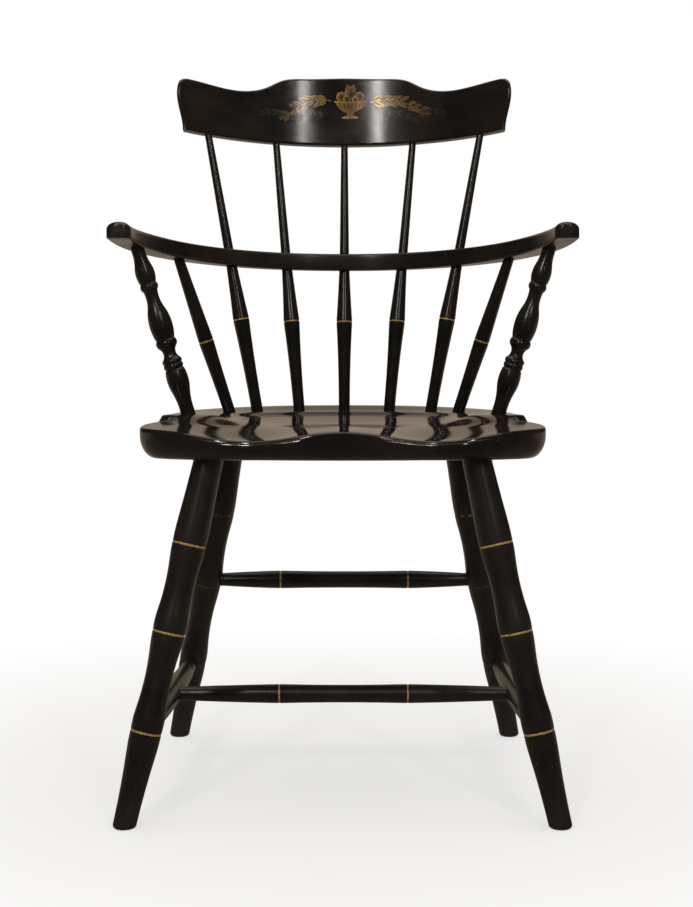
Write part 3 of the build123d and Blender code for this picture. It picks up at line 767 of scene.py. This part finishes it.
# ======== crest rail ========
# The comb: a board steamed and bent in a mould, sawn to its eared outline and rounded over.
# The five long spindles are glued up into its lower edge, and two pins from the back lock the
# outer ones. It has the chair's decoration, bronze powders rubbed on through stencils.

spindle_start, spindle_end = center_line("long_spindle_center")
up = Vector(spindle_end - spindle_start).normalized()
backward = Vector((0, up.z, -up.y))
crest_surface = surface_of("crest_rail")
FOOT_RISE = 0.004  # of the crest's lower edge over the lowest point of its box
foot_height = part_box("crest_rail")[0].z + FOOT_RISE
crest_foot = Vector(spindle_start) + up * ((foot_height - spindle_start[2]) / up.z)

CREST_BEND = 0.302  # radius of the bend
crest_material, tree, shader = new_material("lacquer_crest_rail")
finish_with_lacquer(
    tree,
    shader,
    bent_place(tree, crest_foot.y - CREST_BEND, CREST_BEND),
    relief_depth=0.00010,
    base_roughness=0.11,
    rubbing=0.5,
    dust=0.4,
)
put_on("crest_rail", crest_material)

CREST_PIN_DEPTH = 0.011  # below the end of a spindle
for place in ("outer_left", "outer_right"):
    start, end = center_line(f"long_spindle_{place}")
    spot = Vector(end) - (Vector(end) - Vector(start)).normalized() * CREST_PIN_DEPTH
    away = Vector((spot.x, CREST_BEND, 0))
    pin_head(f"pin_head_crest_{place}", crest_surface, spot, away, crest_material)

# ---- stencilled decoration ----
# Places on the crest are in millimetres: across from its middle, and up from its lower edge.

STENCIL_CENTER = 8.0
POWDER_LIFT = 0.00010  # of one layer of powder above the lacquer
CREST_CASTING_REACH = 0.4  # starts in front of the crest, to feel for its face


def on_crest(across, rise, layer):
    """The point on the crest's front face behind a place, a layer of powder above it."""
    place = crest_foot + Vector((across * MM, 0, 0)) + up * (rise * MM)
    from_front = place - backward * CREST_CASTING_REACH
    spot, normal, _, _ = crest_surface.ray_cast(from_front, backward)
    facing = normal if normal.dot(backward) < 0 else -normal
    return spot + facing * POWDER_LIFT * layer


LEAF_STEPS = 9
LEAF_TONES = ((-1, 1.0), (-0.5, 0.85), (0, 0.16), (0.5, 0.65), (1, 1.0))  # across a leaf
FRUIT_RINGS, FRUIT_SIDES = 5, 22
FRUIT_LIGHT = math.radians(135)  # where the light on the fruit comes from


class Stencil:
    """Shapes of rubbed powder that make up one piece. Each point has a tone from 0, where the
    powder fades out, to 1, where it is laid on thickest."""

    def __init__(self):
        self.points, self.faces, self.tones = [], [], []

    def grid(self, rows, layer, closed=False):
        """A patch from rows of (across, rise, tone) points."""
        first = len(self.points)
        width = len(rows[0])
        for row in rows:
            for across, rise, tone in row:
                self.points.append(on_crest(across, rise, layer))
                self.tones.append(tone)
        for row in range(len(rows) - 1):
            for column in range(width if closed else width - 1):
                beside = (column + 1) % width
                low, high = first + row * width, first + (row + 1) * width
                self.faces.append((low + column, low + beside, high + beside, high + column))

    def leaf(self, root, length, heading, width, layer, tone=1.0, bend=0.0):
        """A pointed leaf, brightest at its tip and along one edge, with a dark midrib."""
        rows = []
        for step in range(LEAF_STEPS + 1):
            share = step / LEAF_STEPS
            turn = math.radians(heading + bend * share)
            middle = (
                root[0] + length * share * math.cos(turn),
                root[1] + length * share * math.sin(turn),
            )
            half = 0.5 * width * math.sin(math.pi * share**0.8) ** 0.9 + 0.02
            row = []
            for side, edge_tone in LEAF_TONES:
                across = middle[0] - side * half * math.sin(turn)
                rise = middle[1] + side * half * math.cos(turn)
                row.append((across, rise, tone * edge_tone * (0.6 + 0.4 * share)))
            rows.append(row)
        self.grid(rows, layer)

    def fruit(self, middle, radius, layer, tone=1.0):
        """A fruit or berry, brightest on the side that the light comes from."""
        rows = []
        for ring in range(FRUIT_RINGS + 1):
            share = ring / FRUIT_RINGS
            row = []
            for step in range(FRUIT_SIDES):
                angle = math.tau * step / FRUIT_SIDES
                glow = 0.5 + 0.5 * math.cos(angle - FRUIT_LIGHT)
                across = middle[0] + radius * share * math.cos(angle)
                rise = middle[1] + radius * share * math.sin(angle)
                row.append((across, rise, tone * (0.12 + 0.88 * share**1.6 * (0.35 + 0.65 * glow))))
            rows.append(row)
        self.grid(rows, layer, closed=True)

    def stroke(self, path, width, tone):
        """A stem or line of even width along a path that fades towards its end."""
        rows = []
        for step, (across, rise) in enumerate(path):
            before = path[max(step - 1, 0)]
            after = path[min(step + 1, len(path) - 1)]
            turn = math.atan2(after[1] - before[1], after[0] - before[0])
            fade = tone * (1 - 0.5 * step / len(path))
            sides = [side * width for side in (-0.5, 0, 0.5)]
            rows.append(
                [(across - out * math.sin(turn), rise + out * math.cos(turn), fade) for out in sides]
            )
        self.grid(rows, 1)

    def piece(self, name, material):
        made = mesh_piece(name, self.points, self.faces, material)
        tone = made.data.attributes.new("tone", "FLOAT", "POINT")
        tone.data.foreach_set("value", self.tones)
        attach(made, "root")


def powder_material(name, bright, deep, strength):
    """Bronze powder over the crest's own lacquer. Where the tone is low the lacquer shows."""
    material, tree, shader = new_material(name)
    place = bent_place(tree, crest_foot.y - CREST_BEND, CREST_BEND)
    lacquer = finish_with_lacquer(
        tree, shader, place, relief_depth=0.00010, base_roughness=0.14, rubbing=0.5, dust=0.4
    )
    tone = add_node(tree, "ShaderNodeAttribute", attribute_name="tone").outputs["Fac"]
    grains = noise(tree, place, 900.0, 3, 0.6)
    wear = noise(tree, stretched(tree, place, (160, 160, 60)), 1.0, 4, 0.6)
    cover = calculate(tree, "MULTIPLY", tone, strength)
    cover = calculate(tree, "MULTIPLY", cover, map_range(tree, wear, 0.30, 0.50, 0.35, 1.0))
    cover = calculate(tree, "MULTIPLY", cover, map_range(tree, grains, 0.25, 0.50, 0.6, 1.0))
    powder = blend_colors(tree, tone, deep, bright)
    tree.links.new(blend_colors(tree, cover, lacquer, powder), shader.inputs["Base Color"])
    tree.links.new(calculate(tree, "MULTIPLY", cover, 0.35), shader.inputs["Metallic"])
    return material


gold_powder = powder_material("stencil_gold", (0.50, 0.30, 0.08, 1), (0.20, 0.11, 0.03, 1), 1.0)
pale_powder = powder_material("stencil_green", (0.16, 0.16, 0.12, 1), (0.07, 0.07, 0.05, 1), 0.75)

# A footed bowl of fruit stands in the middle.
bowl = Stencil()
BOWL_FOOT, BOWL_STEM, BOWL_LIP = 35.0, 42.0, 60.0
BOWL_HALF_WIDTH = 22.5
BOWL_COLUMNS, BOWL_FLUTES = 28, 7
profile = [
    (BOWL_FOOT, 11.0), (BOWL_FOOT + 2, 11.0), (BOWL_FOOT + 4, 5.0), (BOWL_STEM, 3.0),
    (BOWL_STEM + 3, 9.0), (BOWL_STEM + 7, 15.5), (BOWL_STEM + 12, 19.5),
    (BOWL_LIP - 3, 20.0), (BOWL_LIP - 1.5, BOWL_HALF_WIDTH), (BOWL_LIP, BOWL_HALF_WIDTH),
]
rows = []
for rise, half in profile:
    row = []
    for column in range(BOWL_COLUMNS + 1):
        share = 2 * column / BOWL_COLUMNS - 1
        flute = 0.5 + 0.5 * math.cos(share * math.pi * BOWL_FLUTES)
        lip = 1.0 if rise > BOWL_LIP - 2 or rise < BOWL_FOOT + 3 else 0.25 + 0.6 * flute
        row.append((STENCIL_CENTER + half * share, rise, lip * (0.55 + 0.45 * abs(share))))
    rows.append(row)
bowl.grid(rows, 1)
FRUITS = [(-12, 66, 7.5), (13, 66, 7.0), (0.5, 70, 8.5), (-5, 63, 5.0), (7, 62.5, 4.5)]
for across, rise, radius in FRUITS:
    bowl.fruit((STENCIL_CENTER + across, rise), radius, 2 if radius > 6 else 3)
GRAPES = [(17, 60), (20, 57.5), (16.5, 56), (19.5, 53.5), (17.5, 51)]
for across, rise in GRAPES:
    bowl.fruit((STENCIL_CENTER + across, rise), 2.4, 3, tone=0.9)
for heading, length in ((118, 11), (62, 11), (150, 9), (30, 9)):
    bowl.leaf((STENCIL_CENTER + 0.5, 74.5), length, heading, 5.0, 3)
bowl.piece("stencil_bowl_of_fruit", gold_powder)

BRANCH_STEPS = 18


def spray(name, start, reach, sag, pairs, side, seed, material, size=1.0, tone=1.0):
    """A branch that arches away to one side, with leaves in pairs that grow smaller."""
    draw = random.Random(seed)
    branch = Stencil()
    straight_on = 0 if side > 0 else 180
    path = []
    for step in range(BRANCH_STEPS + 1):
        share = step / BRANCH_STEPS
        rise = 7 * math.sin(math.pi * share) - sag * share**1.4
        path.append((start[0] + side * reach * share, start[1] + rise))
    branch.stroke(path, 0.9 * size, tone * 0.8)
    for pair in range(pairs):
        share = (pair + 0.6) / pairs
        root = path[round(share * BRANCH_STEPS)]
        fade = tone * (1.15 - 0.65 * share)
        for over in (1, -1):
            heading = straight_on + side * over * draw.uniform(38, 58) - side * 22 * share
            length = size * draw.uniform(14, 18) * (1 - 0.25 * share)
            branch.leaf(root, length, heading, 0.38 * length, 2, fade, bend=side * over * -16)
        if pair % 2:
            spot = (root[0] + side * draw.uniform(2, 4), root[1] - draw.uniform(7, 10))
            branch.fruit(spot, 1.7 * size, 2, tone=fade)
    branch.leaf(path[-1], 12 * size, straight_on - side * 32, 4.5 * size, 2, tone * 0.5)
    branch.piece(name, material)


spray("stencil_spray_left", (STENCIL_CENTER - 27, 60), 62, 24, 7, -1, 4, gold_powder)
spray("stencil_spray_right", (STENCIL_CENTER + 29, 58), 72, 18, 8, 1, 9, gold_powder)
spray("stencil_tip_left", (STENCIL_CENTER - 88, 34), 34, -2, 4, -1, 6, pale_powder, 0.62, 0.6)
spray("stencil_tip_right", (STENCIL_CENTER + 92, 32), 38, -3, 4, 1, 7, pale_powder, 0.62, 0.6)
spray("stencil_under_left", (STENCIL_CENTER - 34, 38), 44, 10, 5, -1, 15, pale_powder, 0.6, 0.5)
spray("stencil_under_right", (STENCIL_CENTER + 42, 36), 50, 8, 5, 1, 12, pale_powder, 0.6, 0.5)

# ======== floor, light and camera ========
# A pale seamless floor that keeps the soft shadow of the chair, under an overhead softbox and
# two pairs of tall ones in front. The room is white to the eye, and in the gloss of the
# lacquer it is the warm, shaded paper that hangs behind the chair.

WARM_PAPER = (0.40, 0.32, 0.245, 1)
DARK_ROOM = (0.020, 0.017, 0.014, 1)


def gloss_or_glass(tree):
    rays = add_node(tree, "ShaderNodeLightPath").outputs
    return calculate(tree, "MAXIMUM", rays["Is Glossy Ray"], rays["Is Transmission Ray"])


def mix_shaders(tree, share, first, second):
    mix = add_node(tree, "ShaderNodeMixShader", {0: share})
    tree.links.new(first, mix.inputs[1])
    tree.links.new(second, mix.inputs[2])
    return mix.outputs[0]


world = bpy.data.worlds.new("pale_room")
bpy.context.scene.world = world
world.use_nodes = True
tree = world.node_tree
tree.nodes.clear()
direction = add_node(tree, "ShaderNodeTexCoord").outputs["Generated"]
toward = add_node(tree, "ShaderNodeSeparateXYZ", {0: direction}).outputs
behind = map_range(tree, toward["Y"], -0.15, 0.75)
sideways = calculate(tree, "ABSOLUTE", toward["X"])
behind = calculate(tree, "MULTIPLY", behind, map_range(tree, sideways, 0.20, 0.60, 1.0, 0.0))
room_gloss = blend_colors(tree, behind, DARK_ROOM, WARM_PAPER)
light_shader = add_node(tree, "ShaderNodeBackground", {0: (1.0, 0.97, 0.94, 1), 1: 0.62})
gloss_shader = add_node(tree, "ShaderNodeBackground", {0: room_gloss, 1: 1.0})
eye_shader = add_node(tree, "ShaderNodeBackground", {0: (1, 1, 1, 1), 1: 1.0})
is_camera = add_node(tree, "ShaderNodeLightPath").outputs["Is Camera Ray"]
other = mix_shaders(tree, gloss_or_glass(tree), light_shader.outputs[0], gloss_shader.outputs[0])
out = add_node(tree, "ShaderNodeOutputWorld")
tree.links.new(mix_shaders(tree, is_camera, other, eye_shader.outputs[0]), out.inputs[0])

FLOOR_RADIUS, FLOOR_SIDES = 9.0, 64
floor_material = bpy.data.materials.new("pale_floor")
floor_material.use_nodes = True
tree = floor_material.node_tree
tree.nodes.clear()
position = add_node(tree, "ShaderNodeTexCoord").outputs["Object"]
away = add_node(tree, "ShaderNodeVectorMath", {0: position}, operation="LENGTH").outputs["Value"]
fade = map_range(tree, away, 0.45, 1.0, 0.60, 1.0)
lit = add_node(tree, "ShaderNodeBsdfDiffuse", {0: (0.86, 0.85, 0.83, 1)})
white = add_node(tree, "ShaderNodeEmission", {0: (1, 1, 1, 1), 1: 1.0})
# In the lacquer's gloss the floor glows instead of being lit. This is a painted reflection, dark in
# front of the chair and warm paper behind it.
floor_back = add_node(tree, "ShaderNodeSeparateXYZ", {0: position}).outputs["Y"]
floor_reflection_color = blend_colors(tree, map_range(tree, floor_back, -0.5, 0.9), DARK_ROOM, WARM_PAPER)
floor_reflection_glow = add_node(tree, "ShaderNodeEmission", {0: floor_reflection_color, 1: 0.9})
is_camera = add_node(tree, "ShaderNodeLightPath").outputs["Is Camera Ray"]
seen = calculate(tree, "MULTIPLY", is_camera, fade)
floor_shader = mix_shaders(tree, seen, lit.outputs[0], white.outputs[0])
floor_shader = mix_shaders(tree, gloss_or_glass(tree), floor_shader, floor_reflection_glow.outputs[0])
tree.links.new(floor_shader, add_node(tree, "ShaderNodeOutputMaterial").inputs[0])
floor_turns = [math.tau * step / FLOOR_SIDES for step in range(FLOOR_SIDES)]
points = [(FLOOR_RADIUS * math.cos(turn), FLOOR_RADIUS * math.sin(turn), 0) for turn in floor_turns]
floor = mesh_piece("floor", points, [tuple(range(FLOOR_SIDES))], floor_material, smooth=False)


LAMP_COLOR = (1.0, 0.96, 0.91)


def softbox(name, place, target, width, height, power):
    light = bpy.data.lights.new(name, "AREA")
    light.shape = "RECTANGLE"
    light.size, light.size_y = width, height
    light.energy = power
    light.color = LAMP_COLOR
    lamp = bpy.data.objects.new(name, light)
    lamp.location = place
    lamp.rotation_euler = (Vector(target) - Vector(place)).to_track_quat("-Z", "Y").to_euler()
    bpy.context.scene.collection.objects.link(lamp)


softbox("softbox_overhead", (0, 0.1, 2.7), (0, 0, 0.4), 2.2, 2.2, 20)
BACK_OF_CHAIR = (0, 0.1, 0.8)
softbox("softbox_front_left", (-0.95, -2.85, 2.10), BACK_OF_CHAIR, 0.14, 1.2, 11)
softbox("softbox_front_right", (1.15, -2.85, 2.10), BACK_OF_CHAIR, 0.12, 1.2, 8)
softbox("softbox_top_left", (-0.95, -2.87, 2.45), BACK_OF_CHAIR, 0.14, 0.7, 10)
softbox("softbox_top_right", (1.15, -2.87, 2.45), BACK_OF_CHAIR, 0.12, 0.7, 5.5)

CAMERA_PLACE = (0.012, -2.0707, 0.5728)
PICTURE_WIDTH, PICTURE_HEIGHT = 693, 907
FOCAL_PIXELS = 1628.43
HORIZON_ROW, AXIS_COLUMN = 324.28, 353.0
camera_data = bpy.data.cameras.new("camera")
camera_data.sensor_width = 36.0
camera_data.lens = camera_data.sensor_width * FOCAL_PIXELS / PICTURE_HEIGHT
camera_data.shift_x = (PICTURE_WIDTH / 2 - AXIS_COLUMN) / PICTURE_HEIGHT
camera_data.shift_y = (HORIZON_ROW - PICTURE_HEIGHT / 2) / PICTURE_HEIGHT
camera = bpy.data.objects.new("camera", camera_data)
camera.location = CAMERA_PLACE
camera.rotation_euler = (math.pi / 2, 0, 0)
bpy.context.scene.collection.objects.link(camera)
bpy.context.scene.camera = camera
bpy.context.scene.view_settings.view_transform = "Standard"
